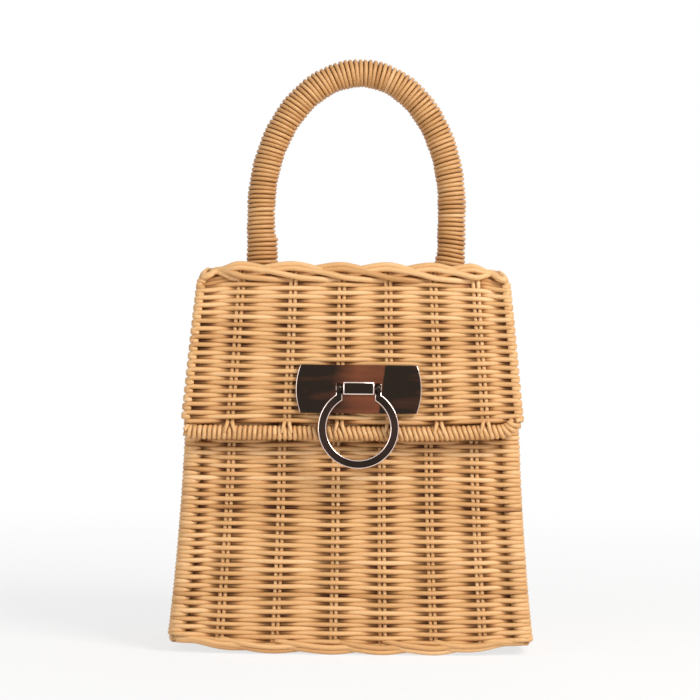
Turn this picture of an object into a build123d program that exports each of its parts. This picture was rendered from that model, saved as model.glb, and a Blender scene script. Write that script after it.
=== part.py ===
from build123d import *
import os
from math import hypot, pi, sin, sqrt

# Woven box: outside sizes between the rows, at the foot and at the mouth
base_width = 182.0
base_depth = 98.0
mouth_width = 155.0
mouth_depth = 70.0
wall_height = 180.0
corner_cut = 6.5            # by which each corner is turned in one short straight run

# Weave: each ridge stands for a few rows of round cane
row_pitch = 5.4
weave_thickness = 1.8
ridge_height = 1.3
gap_width = 8.0
front_gap_rows = 16
back_gap_rows = 24
first_gap_row = 1

# Stakes: rods in pairs, placed as shares of the half width or half depth of their wall
rod_radius = 1.2
rod_sides = 6
pair_gap = 0.3
front_stake_shares = (-0.718, -0.414, -0.094, 0.177, 0.456, 0.727)
side_stake_shares = (-0.55, 0.0, 0.55)
flap_stake_shares = (-0.71, -0.38, -0.075, 0.218, 0.504, 0.773)

# Foot, floor and mouth of the box
foot_height = 5.0
foot_proud = 1.6
foot_ledge = 6.0
mat_thickness = 4.2
mat_ridge = 1.1
rim_height = 4.0
scallop_rise = 1.3
scallop_runs = 4            # short straight runs in each scallop

# Lid and its border
border_height = 4.6
border_width = 4.8
lid_overhang = 1.0

# Flap
flap_drop = 83.0            # from the lid's underside to the lower edge of the bound rim
flap_gap = 3.1              # between the flap's stakes and the rows behind them
flap_proud = 0.9            # by which each side of the flap stands past the wall
rim_binding_height = 8.5
rim_proud = 1.4
rim_turn_pitch = 4.6
rim_turn_depth = 0.8
rim_rod_radius = 1.8

# Handle
handle_span = 100.0
handle_leg = 33.0
arch_rise = 70.0
handle_aside = 1.0          # of the handle's middle to the right
handle_radius = 6.9
wrap_groove = 0.6           # depth of the groove between two turns of the winding
wrap_pitch = 9.6
foot_wrap = 0.7             # extra layer at each foot of the handle
tenon_radius = 4.8          # of the bare end that passes through the lid
handle_sides = 8

# Hinge loops
loop_radius = 3.2
loop_thickness = 1.0
loop_width = 3.2
loop_sides = 8
loop_share = 0.55           # of the half width of the lid

# Clasp
clasp_drop = 57.3           # from the lid's underside to the pin
clasp_aside = 3.0           # of the clasp's middle to the right
plate_length = 58.0
plate_height = 24.0
plate_thickness = 2.0
plate_bow = 2.2
plate_bevel = 0.5
knuckle_length = 15.4
knuckle_height = 6.4
knuckle_bevel = 0.8
pin_radius = 1.25
ring_radius = 20.0
ring_bar = 4.2
ring_thickness = 3.0
ring_drop = 19.6            # from the pin to the middle of the ring
neck_width = 3.3
eye_radius = 2.8
eye_sides = 8
ring_sides = 48

# Fixings behind the flap
backing_length = 44.0
backing_height = 22.0
backing_thickness = 0.8
prong_width = 5.0
prong_thickness = 1.0
prong_spacing = 16.0
snap_length = 16.0
snap_height = 8.0
stud_thickness = 1.2
socket_thickness = 0.8

# Clearances
fit = 0.1                   # between pieces that are tied together
seat_gap = 0.3              # between the lid and the mouth
play = 0.3                  # beside a moving piece
running = 0.05              # round the pin
overrun = 5.0               # by which a cut passes the faces it goes through

# Levels and slopes worked out from the sizes
wall_top = foot_height + wall_height
rim_top = wall_top + rim_height
lid_floor = rim_top + seat_gap
lid_face = lid_floor + mat_thickness
flap_foot = lid_floor - flap_drop + rim_binding_height
rim_foot = lid_floor - flap_drop
clasp_level = lid_floor - clasp_drop
front_lean = (base_depth - mouth_depth) / 2 / wall_height
lean_share = 1 / hypot(1, front_lean)
stake_depth = 2 * rod_radius + fit
corner_share = 2 - sqrt(2)  # change of the corner cut for each step out from the wall

# Distances out from the front wall, from the valleys between its rows
flap_back = ridge_height + flap_gap
flap_inside = flap_back + stake_depth
flap_valley = flap_inside + weave_thickness
flap_outside = flap_valley + ridge_height
rim_outside = flap_outside + rim_proud


def width_at(z):
    """Width of the box at a height, between the rows."""
    return base_width + (mouth_width - base_width) * (z - foot_height) / wall_height


def depth_at(z):
    """Depth of the box at a height, between the rows."""
    return base_depth + (mouth_depth - base_depth) * (z - foot_height) / wall_height


def flap_half_width(level):
    """Half the width of the flap at a height."""
    return width_at(level) / 2 + flap_proud


def plan_outline(width, depth, cut, mode=Mode.ADD):
    """Plan of the box: straight sides, and one short run across each corner."""
    points = []
    for side_x, side_y in ((1, 1), (-1, 1), (-1, -1), (1, -1)):
        turn = [(width / 2, depth / 2 - cut), (width / 2 - cut, depth / 2)]
        if side_x != side_y:
            turn.reverse()
        points += [(side_x * x, side_y * y) for x, y in turn]
    Polygon(*points, mode=mode)


def scalloped_edge(length, bumps, pitch, height, rise):
    """Border seen from outside: straight on one edge, with one shallow arch over each stake."""
    first = -bumps * pitch / 2
    with BuildLine() as edge:
        Polyline(
            (first, height),
            (-length / 2, height),
            (-length / 2, 0),
            (length / 2, 0),
            (length / 2, height),
            (-first, height),
        )
        crest = []
        for run in range(bumps * scallop_runs + 1):
            lift = rise * abs(sin(pi * run / scallop_runs))
            crest.append((first + run * pitch / scallop_runs, height + lift))
        Polyline(*crest)
    make_face(edge.edges())


def pair_offsets():
    """Places of the two rods of a stake, beside its middle."""
    return (-rod_radius - pair_gap / 2, rod_radius + pair_gap / 2)


def leaning_rod(foot, head):
    """One rod with level ends, from its foot to its head."""
    lean = Vector(*head) - Vector(*foot)
    with BuildSketch(Plane.XY.offset(foot[2])) as end:
        with Locations((foot[0], foot[1])):
            RegularPolygon(rod_radius, rod_sides, rotation=90)
    extrude(end.sketch, amount=lean.length, dir=lean)


def reed_mat(width, depth, middle, floor):
    """Mat of rows that run from side to side, ridged above and below."""
    rows = round(depth / row_pitch)
    step = depth / rows
    upper = []
    lower = []
    for half_row in range(2 * rows + 1):
        y = middle - depth / 2 + half_row * step / 2
        dip = mat_ridge * (1 - half_row % 2)
        upper.append((y, floor + mat_thickness - dip))
        lower.append((y, floor + dip))
    with BuildSketch(Plane.YZ) as section:
        Polygon(*upper, *reversed(lower))
    extrude(section.sketch, amount=width / 2, both=True)
    with BuildSketch(Plane((0, middle, floor))) as plan:
        plan_outline(width, depth, corner_cut)
    extrude(plan.sketch, amount=mat_thickness, mode=Mode.INTERSECT)


# Lid sizes: its plan covers the box and the flap in front of it
lid_width = 2 * (flap_half_width(lid_floor) + lid_overhang)
lid_back = mouth_depth / 2 + ridge_height + lid_overhang
lid_front = -depth_at(lid_floor) / 2 - flap_outside - lid_overhang
lid_depth = lid_back - lid_front
lid_middle = (lid_back + lid_front) / 2


def loop_planes():
    """Planes across the hinge line, in the middle of each loop."""
    planes = []
    for side in (-1, 1):
        place = (side * loop_share * lid_width / 2, lid_back, lid_floor)
        planes.append(Plane(place, x_dir=(0, 1, 0), z_dir=(1, 0, 0)))
    return planes


def hinge_slots():
    """Slots that leave room for the hinge loops to turn."""
    for plane in loop_planes():
        with BuildSketch(plane) as slot:
            Circle(loop_radius + loop_thickness + play)
            Circle(loop_radius - play, mode=Mode.SUBTRACT)
        extrude(slot.sketch, amount=loop_width / 2 + play, both=True, mode=Mode.SUBTRACT)


# Woven wall, with gaps where the stakes show between the rows
wall_rows = round(wall_height / row_pitch)
wall_step = wall_height / wall_rows


def wall_gaps():
    """Places of the gaps: close rows in front, below the flap, and open rows behind."""
    places = []
    for side, rows, every in ((-1, front_gap_rows, 2), (1, back_gap_rows, 4)):
        for row in range(first_gap_row, first_gap_row + rows):
            z = foot_height + (row + 1 / 2) * wall_step
            for column, share in enumerate(front_stake_shares):
                if (row + column * every // 2) % every == 0:
                    places.append((share * width_at(z) / 2, side * depth_at(z) / 2, z))
    return places


def tapered_outline(size_at):
    """Upright outline of the space inside the wall, past its foot and its top."""
    low = foot_height - overrun
    high = wall_top + overrun
    low_half = size_at(low) / 2 - weave_thickness
    high_half = size_at(high) / 2 - weave_thickness
    Polygon((-low_half, low), (low_half, low), (high_half, high), (-high_half, high))


with BuildPart() as body_inside:
    with BuildSketch(Plane.YZ):
        tapered_outline(depth_at)
    extrude(amount=base_width, both=True)
    with BuildSketch(Plane((0, 0, 0), x_dir=(1, 0, 0), z_dir=(0, -1, 0))):
        tapered_outline(width_at)
    extrude(amount=base_depth, both=True, mode=Mode.INTERSECT)
    corner_edges = [edge for edge in body_inside.edges() if abs((edge @ 1 - edge @ 0).Z) > overrun]
    chamfer(corner_edges, corner_cut - corner_share * weave_thickness)

with BuildPart() as body_weave:
    for half_row in range(2 * wall_rows + 1):
        level = foot_height + half_row * wall_step / 2
        proud = ridge_height * (half_row % 2)
        cut = corner_cut + corner_share * proud
        with BuildSketch(Plane.XY.offset(level)):
            plan_outline(width_at(level) + 2 * proud, depth_at(level) + 2 * proud, cut)
    loft(ruled=True)
    add(body_inside.part, mode=Mode.SUBTRACT)
    with Locations(*wall_gaps()):
        Box(gap_width, 2 * overrun, wall_step, mode=Mode.SUBTRACT)
    hinge_slots()

# Stakes inside the wall, from the floor to the mouth rim
stake_foot = foot_height + mat_thickness
stake_in = weave_thickness + fit + rod_radius


def wall_stake(share, turned, side, level):
    """Middle of a stake at a height, on the front, the back or a turned side wall."""
    if turned:
        return side * (width_at(level) / 2 - stake_in), share * depth_at(level) / 2, level
    return share * width_at(level) / 2, side * (depth_at(level) / 2 - stake_in), level


with BuildPart() as body_stakes:
    for turned, shares in ((False, front_stake_shares), (True, side_stake_shares)):
        for side in (-1, 1):
            for share in shares:
                for offset in pair_offsets():
                    shift = Vector(0, offset, 0) if turned else Vector(offset, 0, 0)
                    foot = Vector(*wall_stake(share, turned, side, stake_foot)) + shift
                    head = Vector(*wall_stake(share, turned, side, wall_top)) + shift
                    leaning_rod(tuple(foot), tuple(head))

# Woven floor
floor_margin = 2 * (weave_thickness + fit)
with BuildPart() as base_mat:
    reed_mat(width_at(stake_foot) - floor_margin, depth_at(stake_foot) - floor_margin, 0, foot_height)

# Plaited border under the wall, scalloped outside and flat inside
side_pitch_share = side_stake_shares[1] - side_stake_shares[0]
front_pitch_share = (front_stake_shares[-1] - front_stake_shares[0]) / (len(front_stake_shares) - 1)
foot_width = base_width + 2 * foot_proud
foot_depth = base_depth + 2 * foot_proud
foot_cut = corner_cut + corner_share * foot_proud
ledge_inset = weave_thickness + foot_ledge

with BuildPart() as foot_border:
    with BuildSketch(Plane((0, 0, foot_height), x_dir=(1, 0, 0), z_dir=(0, 1, 0))):
        scalloped_edge(
            foot_width,
            len(front_stake_shares),
            front_pitch_share * base_width / 2,
            foot_height - scallop_rise,
            scallop_rise,
        )
    extrude(amount=foot_depth / 2, both=True)
    with BuildSketch(Plane((0, 0, foot_height), x_dir=(0, 1, 0), z_dir=(-1, 0, 0))):
        scalloped_edge(
            foot_depth,
            len(side_stake_shares),
            side_pitch_share * base_depth / 2,
            foot_height - scallop_rise,
            scallop_rise,
        )
    extrude(amount=foot_width / 2, both=True)
    with BuildSketch():
        plan_outline(foot_width, foot_depth, foot_cut)
    extrude(amount=foot_height, mode=Mode.INTERSECT)
    with BuildSketch():
        plan_outline(base_width, base_depth, corner_cut)
    extrude(amount=foot_height)
    with BuildSketch():
        plan_outline(
            base_width - 2 * ledge_inset,
            base_depth - 2 * ledge_inset,
            corner_cut,
        )
    extrude(amount=foot_height, mode=Mode.SUBTRACT)

# Hoop round the mouth, over the wall and the heads of its stakes
rim_inset = weave_thickness + stake_depth + fit
with BuildPart() as mouth_rim:
    with BuildSketch(Plane.XY.offset(wall_top)):
        plan_outline(mouth_width, mouth_depth, corner_cut)
        plan_outline(
            mouth_width - 2 * rim_inset,
            mouth_depth - 2 * rim_inset,
            corner_cut - corner_share * rim_inset,
            mode=Mode.SUBTRACT,
        )
    extrude(amount=rim_height)
    hinge_slots()

# Loops that tie the lid to the back of the mouth
with BuildPart() as hinge_loops:
    for loop_plane in loop_planes():
        with BuildSketch(loop_plane):
            RegularPolygon(loop_radius + loop_thickness, loop_sides)
            RegularPolygon(loop_radius, loop_sides, major_radius=False, mode=Mode.SUBTRACT)
        extrude(amount=loop_width / 2, both=True)

# Woven top of the lid, with gaps between its rows and a hole for each foot of the handle
mat_width = lid_width - 2 * (border_width + fit)
mat_depth = lid_depth - 2 * (border_width + fit)
mat_rows = round(mat_depth / row_pitch)
mat_step = mat_depth / mat_rows


def lid_gaps():
    """Places of the gaps in the lid, on every second row of each stake, clear of the handle's feet."""
    places = []
    for row in range(1, mat_rows - 1):
        away = (row + 1 / 2) * mat_step - mat_depth / 2
        for column, share in enumerate(flap_stake_shares):
            if (row + column) % 2 == 0 and abs(away) > 2 * handle_radius:
                places.append((share * flap_half_width(lid_floor), lid_middle + away, lid_floor))
    return places


def leg_plane(side):
    """Level plane under the middle of one leg of the handle, at the lid's underside."""
    return Plane((handle_aside + side * handle_span / 2, lid_middle, lid_floor), x_dir=(0, 1, 0))


with BuildPart() as lid_mat:
    reed_mat(mat_width, mat_depth, lid_middle, lid_floor)
    with Locations(*lid_gaps()):
        Box(gap_width, mat_step, 2 * overrun, mode=Mode.SUBTRACT)
    for side in (-1, 1):
        with BuildSketch(leg_plane(side)):
            RegularPolygon(tenon_radius + fit, handle_sides)
        extrude(amount=mat_thickness, mode=Mode.SUBTRACT)

# Plaited border of the lid, scalloped over each stake
flap_pitch_share = (flap_stake_shares[-1] - flap_stake_shares[0]) / (len(flap_stake_shares) - 1)
with BuildPart() as lid_border:
    with BuildSketch(Plane((0, lid_middle, lid_floor), x_dir=(1, 0, 0), z_dir=(0, -1, 0))):
        scalloped_edge(
            lid_width, len(flap_stake_shares), flap_pitch_share * lid_width / 2, border_height, scallop_rise
        )
    extrude(amount=lid_depth / 2, both=True)
    with BuildSketch(Plane((0, lid_middle, lid_floor), x_dir=(0, 1, 0), z_dir=(1, 0, 0))):
        scalloped_edge(
            lid_depth, len(side_stake_shares), side_pitch_share * lid_depth / 2, border_height, scallop_rise
        )
    extrude(amount=lid_width / 2, both=True)
    with BuildSketch(Plane((0, lid_middle, lid_floor))):
        plan_outline(lid_width, lid_depth, corner_cut + corner_share * border_width)
        plan_outline(
            lid_width - 2 * border_width,
            lid_depth - 2 * border_width,
            corner_cut,
            mode=Mode.SUBTRACT,
        )
    extrude(amount=border_height + scallop_rise, mode=Mode.INTERSECT)
    hinge_slots()

# Flap: rows that lean with the front wall, cut to its taper
flap_rows = round((lid_floor - flap_foot) / row_pitch)
flap_step = (lid_floor - flap_foot) / flap_rows


def flap_section():
    """Section of the flap: ridged in front and smooth behind."""
    front = []
    for half_row in range(2 * flap_rows + 1):
        level = flap_foot + half_row * flap_step / 2
        proud = ridge_height * (half_row % 2)
        front.append((-depth_at(level) / 2 - flap_valley - proud, level))
    back = [(-depth_at(level) / 2 - flap_inside, level) for level in (lid_floor, flap_foot)]
    Polygon(*front, *back)


def flap_gaps():
    """Places of the gaps in the flap, on every second row of each stake."""
    places = []
    for row in range(1, flap_rows - 1):
        level = flap_foot + (row + 1 / 2) * flap_step
        for column, share in enumerate(flap_stake_shares):
            if (row + column) % 2 == 0:
                places.append((share * flap_half_width(level), -depth_at(level) / 2 - flap_inside, level))
    return places


plate_place = (clasp_aside, -depth_at(clasp_level) / 2 - flap_outside, clasp_level)
plate_plane = Plane(plate_place, x_dir=(1, 0, 0), z_dir=(0, -1, front_lean))


def prong_points():
    """Places of the plate's prongs on the clasp's planes, above and below the hinge."""
    return [(0, side * prong_spacing / 2) for side in (-1, 1)]


with BuildPart() as flap_weave:
    with BuildSketch(Plane.YZ):
        flap_section()
    extrude(amount=base_width / 2, both=True)
    with BuildSketch(Plane((0, 0, 0), x_dir=(1, 0, 0), z_dir=(0, -1, 0))):
        Polygon(
            (-flap_half_width(flap_foot), flap_foot),
            (flap_half_width(flap_foot), flap_foot),
            (flap_half_width(lid_floor), lid_floor),
            (-flap_half_width(lid_floor), lid_floor),
        )
    extrude(amount=base_depth + rim_outside, mode=Mode.INTERSECT)
    with Locations(*flap_gaps()):
        Box(gap_width, 2 * overrun, flap_step, mode=Mode.SUBTRACT)
    with BuildSketch(plate_plane):
        with Locations(*prong_points()):
            Rectangle(prong_width + 2 * fit, prong_thickness + 2 * fit)
    extrude(amount=-2 * overrun, mode=Mode.SUBTRACT)


def flap_stake(share, level):
    """Middle of a flap stake at a height."""
    return share * flap_half_width(level), -depth_at(level) / 2 - flap_back - rod_radius, level


with BuildPart() as flap_stakes:
    for share in flap_stake_shares:
        for offset in pair_offsets():
            shift = Vector(offset, 0, 0)
            foot = Vector(*flap_stake(share, flap_foot)) + shift
            head = Vector(*flap_stake(share, lid_floor)) + shift
            leaning_rod(tuple(foot), tuple(head))

# Bound lower edge of the flap: a rod with cane wound round it
rim_length = 2 * flap_half_width(flap_foot)
rim_turns = round(rim_length / rim_turn_pitch)
rim_step = rim_length / rim_turns
rim_middle_out = (flap_back + rim_outside) / 2
rim_level = (rim_foot + flap_foot) / 2


def rim_section():
    """Level section of the binding: one ridge for each turn in front, and smooth behind."""
    face = -depth_at(rim_foot) / 2 - rim_outside
    front = []
    for half_turn in range(2 * rim_turns + 1):
        groove = rim_turn_depth * (1 - half_turn % 2)
        front.append((-rim_length / 2 + half_turn * rim_step / 2, face + groove))
    back = -depth_at(rim_foot) / 2 - flap_back
    Polygon(*front, (rim_length / 2, back), (-rim_length / 2, back))


rim_place = (-rim_length / 2, -depth_at(rim_level) / 2 - rim_middle_out, rim_level)
with BuildPart() as flap_rim_binding:
    with BuildSketch(Plane.XY.offset(rim_foot)):
        rim_section()
    extrude(amount=rim_binding_height * hypot(1, front_lean), dir=(0, front_lean, 1))
    with BuildSketch(Plane(rim_place, x_dir=(0, 1, 0), z_dir=(1, 0, 0))):
        RegularPolygon(rim_rod_radius + fit, rod_sides)
    extrude(amount=rim_length, mode=Mode.SUBTRACT)

with BuildPart() as flap_rim_rod:
    with BuildSketch(Plane(rim_place, x_dir=(0, 1, 0), z_dir=(1, 0, 0))):
        RegularPolygon(rim_rod_radius, rod_sides)
    extrude(amount=rim_length)

# Handle: straight legs and an elliptical arch, wound with cane from foot to foot
arch_foot = lid_face + handle_leg
with BuildLine(Plane((handle_aside, lid_middle, 0), x_dir=(1, 0, 0), z_dir=(0, -1, 0))) as handle_line:
    Line((-handle_span / 2, lid_face), (-handle_span / 2, arch_foot))
    EllipticalCenterArc((0, arch_foot), handle_span / 2, arch_rise, 180, arc_size=-180)
    Line((handle_span / 2, arch_foot), (handle_span / 2, lid_face))
handle_path = handle_line.wires()[0]
wrap_turns = round(handle_path.length / wrap_pitch)


def handle_section(share, radius):
    """Section of the handle at a share of its length."""
    with BuildSketch(Plane(handle_path @ share, x_dir=(0, 1, 0), z_dir=handle_path % share)) as section:
        RegularPolygon(radius, handle_sides)
    return section.sketch


def wound_sections():
    """Sections of the winding: one ridge for each turn, and an extra layer at the feet."""
    sections = [handle_section(0, handle_radius + foot_wrap)]
    for half_turn in range(1, 2 * wrap_turns):
        at_foot = half_turn in (1, 2 * wrap_turns - 1)
        groove = wrap_groove * (1 - half_turn % 2)
        radius = handle_radius + (foot_wrap if at_foot else -groove)
        sections.append(handle_section(half_turn / (2 * wrap_turns), radius))
    sections.append(handle_section(1, handle_radius + foot_wrap))
    return sections


with BuildPart() as handle:
    loft(wound_sections(), ruled=True)
    for side in (-1, 1):
        with BuildSketch(leg_plane(side)):
            RegularPolygon(tenon_radius, handle_sides)
        extrude(amount=mat_thickness)

# Clasp: a plate with bowed ends, a hinge block, and a drop ring on a pin
pin_height = eye_radius + play
hinge_plane = plate_plane.offset(plate_thickness)
pin_plane = hinge_plane.offset(pin_height)
neck_middle = knuckle_length / 2 + play + neck_width / 2
outward = Axis(plate_plane.origin, plate_plane.z_dir)


def across_plane(x):
    """Plane square to the pin at a distance along it."""
    return Plane(pin_plane.origin + Vector(x, 0, 0), x_dir=plate_plane.y_dir, z_dir=(1, 0, 0))


with BuildPart() as clasp_plate:
    with BuildSketch(plate_plane):
        with BuildLine():
            for side in (-1, 1):
                Line(
                    (-plate_length / 2, side * plate_height / 2),
                    (plate_length / 2, side * plate_height / 2),
                )
                ThreePointArc(
                    (side * plate_length / 2, -plate_height / 2),
                    (side * (plate_length / 2 + plate_bow), 0),
                    (side * plate_length / 2, plate_height / 2),
                )
        make_face()
    extrude(amount=plate_thickness)
    chamfer(clasp_plate.faces().sort_by(outward)[-1].edges(), plate_bevel)
    with BuildSketch(plate_plane):
        with Locations(*prong_points()):
            Rectangle(prong_width, prong_thickness)
    extrude(amount=(flap_back - flap_outside) * lean_share - backing_thickness)

with BuildPart() as clasp_knuckle:
    with BuildSketch(hinge_plane):
        Rectangle(knuckle_length, knuckle_height)
    extrude(amount=2 * pin_height)
    chamfer(clasp_knuckle.faces().sort_by(outward)[-1].edges(), knuckle_bevel)
    with BuildSketch(across_plane(-knuckle_length / 2)):
        Circle(pin_radius)
    extrude(amount=knuckle_length, mode=Mode.SUBTRACT)

pin_end = neck_middle + neck_width / 2
with BuildPart() as clasp_pin:
    with BuildSketch(across_plane(-pin_end)):
        Circle(pin_radius)
    extrude(amount=2 * pin_end)

with BuildPart() as clasp_ring:
    with BuildSketch(pin_plane.offset(-ring_thickness / 2)):
        with Locations((0, -ring_drop)):
            RegularPolygon(ring_radius, ring_sides)
            RegularPolygon(ring_radius - ring_bar, ring_sides, mode=Mode.SUBTRACT)
        Rectangle(2 * neck_middle - neck_width, 2 * ring_drop, mode=Mode.SUBTRACT)
        for side in (-1, 1):
            with Locations((side * neck_middle, -ring_bar / 2)):
                Rectangle(neck_width, ring_bar)
    extrude(amount=ring_thickness)
    for side in (-1, 1):
        with BuildSketch(across_plane(side * neck_middle - neck_width / 2)):
            RegularPolygon(eye_radius, eye_sides, rotation=180 / eye_sides)
        extrude(amount=neck_width)
    with BuildSketch(across_plane(-pin_end)):
        Circle(pin_radius + running)
    extrude(amount=2 * pin_end, mode=Mode.SUBTRACT)

# Strip and snap behind the flap
backing_plane = plate_plane.offset((flap_back - flap_outside) * lean_share)
socket_plane = plate_plane.offset((ridge_height - flap_outside) * lean_share)

with BuildPart() as clasp_backing:
    with BuildSketch(backing_plane):
        Rectangle(backing_length, backing_height)
        with Locations(*prong_points()):
            Rectangle(prong_width + 2 * fit, prong_thickness + 2 * fit, mode=Mode.SUBTRACT)
    extrude(amount=-backing_thickness)

with BuildPart() as snap_stud:
    with BuildSketch(backing_plane.offset(-backing_thickness)):
        Rectangle(snap_length, snap_height)
    extrude(amount=-stud_thickness)

with BuildPart() as snap_socket:
    with BuildSketch(socket_plane):
        Rectangle(snap_length, snap_height)
    extrude(amount=socket_thickness)

pieces = {
    "body_weave": body_weave,
    "body_stakes": body_stakes,
    "base_mat": base_mat,
    "foot_border": foot_border,
    "mouth_rim": mouth_rim,
    "hinge_loops": hinge_loops,
    "snap_socket": snap_socket,
    "lid_mat": lid_mat,
    "lid_border": lid_border,
    "flap_weave": flap_weave,
    "flap_stakes": flap_stakes,
    "flap_rim_rod": flap_rim_rod,
    "flap_rim_binding": flap_rim_binding,
    "handle": handle,
    "clasp_plate": clasp_plate,
    "clasp_knuckle": clasp_knuckle,
    "clasp_pin": clasp_pin,
    "clasp_backing": clasp_backing,
    "snap_stud": snap_stud,
    "clasp_ring": clasp_ring,
}

os.makedirs("parts", exist_ok=True)
for name, piece in pieces.items():
    piece.part.label = name
    export_step(piece.part, f"parts/{name}.step")
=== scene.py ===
"""Weaves the cane box bag round its solid model: wall, lid, flap, handle, clasp and stage."""

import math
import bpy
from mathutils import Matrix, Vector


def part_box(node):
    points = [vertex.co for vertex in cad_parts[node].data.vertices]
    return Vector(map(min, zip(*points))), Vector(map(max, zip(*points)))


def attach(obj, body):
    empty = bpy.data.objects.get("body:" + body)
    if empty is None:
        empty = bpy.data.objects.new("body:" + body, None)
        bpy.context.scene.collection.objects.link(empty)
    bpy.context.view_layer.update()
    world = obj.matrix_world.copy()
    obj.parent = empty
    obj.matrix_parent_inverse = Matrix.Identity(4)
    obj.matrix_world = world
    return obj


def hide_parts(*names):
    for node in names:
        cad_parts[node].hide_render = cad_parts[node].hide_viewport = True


bl_info = {
    "name": "Woven Cane Box Bag",
    "version": (1, 0, 0),
    "blender": (4, 2, 0),
    "location": "View3D > Sidebar > Cane Bag",
    "description": "Weaves a tapered cane box bag with a hinged lid, a wound handle and a metal clasp",
    "category": "Object",
}

import bmesh
import bpy
import numpy as np
from bpy.props import FloatProperty, FloatVectorProperty, IntProperty, PointerProperty
from mathutils import Matrix, Vector

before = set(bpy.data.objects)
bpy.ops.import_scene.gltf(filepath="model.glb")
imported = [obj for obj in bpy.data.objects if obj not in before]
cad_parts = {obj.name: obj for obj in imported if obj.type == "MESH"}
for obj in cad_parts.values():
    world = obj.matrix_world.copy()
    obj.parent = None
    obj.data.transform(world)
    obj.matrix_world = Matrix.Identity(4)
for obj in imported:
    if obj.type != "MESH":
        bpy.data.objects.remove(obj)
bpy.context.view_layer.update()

MM = 0.001
TURN = 2 * math.pi
UP = (0, 0, 1)
ACROSS = (1, 0, 0)
WHITE = (1, 1, 1, 1)

# Stakes as shares of the half width or half depth of their wall, as in the solid model
FRONT_SHARES = (-0.718, -0.414, -0.094, 0.177, 0.456, 0.727)
SIDE_SHARES = (-0.55, 0.0, 0.55)
FLAP_SHARES = (-0.71, -0.38, -0.075, 0.218, 0.504, 0.773)

# Stakes of the box, and the places of the corner posts among them
STAKE_COUNT = 22
CORNERS = (2, 9, 13, 20)

# Samples along the strands
CORNER_STEPS = 9
SPAN_STEPS = 11
MAT_STEPS = 8
COIL_STEPS = 22

# Starts of the random draws of each step
SEEDS = {"wall": 11, "foot": 23, "mouth": 31, "lid": 41, "flap": 53, "rim": 67, "handle": 79}

# Tone of each kind of strand, and how much it varies from strand to strand
TONES = {
    "row": (0.52, 0.14),
    "wrap": (0.5, 0.1),
    "stake": (0.6, 0.1),
    "border": (0.52, 0.12),
    "mat": (0.48, 0.13),
    "hoop": (0.5, 0.1),
    "tie": (0.4, 0.1),
    "flap": (0.52, 0.13),
    "binding": (0.52, 0.1),
    "tail": (0.55, 0.08),
    "handle": (0.5, 0.12),
}

# Slow change of tone along a strand: waves round the box, and share of the strand's own spread
DRIFT_WAVES = 5
DRIFT_SHARE = 0.6

# Painted shade: how much a strand darkens where a stake covers it, and towards the strands beside it
HOLLOW_SHADE = 0.8
ROW_GROOVE_SHADE = 0.3
GROOVE_POWER = 4

# Slow waves that neighbouring rows share: count round the box, height of one, start and weight
WANDER_WAVES = ((4, 0.095, 1.3, 0.6), (7, -0.067, 4.1, 0.4))
WANDER_REACH = 0.45 * MM

# Small rise and fall of each row, and the height over which a lifted foot evens out
TREMBLE = 0.1 * MM
FOOT_FADE = 14 * MM

# Direction, out and up, in which a stake covers a row that passes behind it, and so where painted shade
# lies on the row; the upward part lays it as if shade fell from above
FACING_OUT, FACING_UP = 0.8, 0.6


def length(label, words, default):
    """A length that a user may change, in metres."""
    return FloatProperty(name=label, description=words, default=default, unit="LENGTH", precision=5)


def colour(label, words, default):
    """A colour that a user may change."""
    return FloatVectorProperty(name=label, description=words, default=default, subtype="COLOR", size=3,
                               min=0, max=1)


class CaneBoxSettings(bpy.types.PropertyGroup):
    """Sizes of the woven box."""

    base_width: length("Base width", "Width of the box at its foot, between the rows", 182 * MM)
    base_depth: length("Base depth", "Depth of the box at its foot, between the rows", 98 * MM)
    mouth_width: length("Mouth width", "Width of the box at its mouth", 157 * MM)
    mouth_depth: length("Mouth depth", "Depth of the box at its mouth", 70 * MM)
    wall_foot: length("Wall foot", "Height of the lowest row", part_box("body_weave")[0][2])
    wall_top: length("Wall top", "Height of the highest row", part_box("body_weave")[1][2])
    corner: length("Corner radius", "Radius of the corners in the middle of the wall", 8 * MM)
    wall_middle: length("Wall middle", "Depth of the middle of the wall behind its face", 2.1 * MM)
    row_pitch: length("Row pitch", "Height of one row", 2.08 * MM)
    cane: length("Cane radius", "Radius of the cane of the rows", 1.29 * MM)
    sway: length("Sway", "How far a row passes in front of and behind its stakes", 1.55 * MM)
    stake: length("Stake radius", "Radius of each rod of a stake", 0.98 * MM)
    stake_out: length("Stake place", "Distance of the stakes out of the middle of the wall", 0.35 * MM)
    pair: length("Pair spacing", "Half the distance between the two rods of a stake", 1.2 * MM)
    post: length("Post radius", "Radius of the rod in each corner", 1.9 * MM)
    pulled_in: length("Pulled in", "How far the sides curve in low down", 0.9 * MM)
    foot_lift: length("Foot lift", "How far the foot rises at its corners", 2.6 * MM)


class CaneLidSettings(bpy.types.PropertyGroup):
    """Sizes of the lid and its flap."""

    border_rod: length("Border rod", "Radius of the rods of the plaited borders", 1.4 * MM)
    droop: length("Droop", "How far the front corners of the lid hang down", 5.5 * MM)
    flap_out: length("Flap distance", "Distance of the flap's stakes in front of the wall", 7.2 * MM)
    flap_proud: length("Flap overhang", "How far the flap's foot stands past the wall", 2.2 * MM)
    flap_flare: FloatProperty(name="Flap flare", description="How much the overhang shrinks with height",
                              default=0.026)
    flap_foot: length("Flap foot", "Height of the lowest row of the flap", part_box("flap_weave")[0][2])
    rim_turn: length("Rim turn", "Width of one turn of the binding of the flap's edge", 2.5 * MM)


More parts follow.
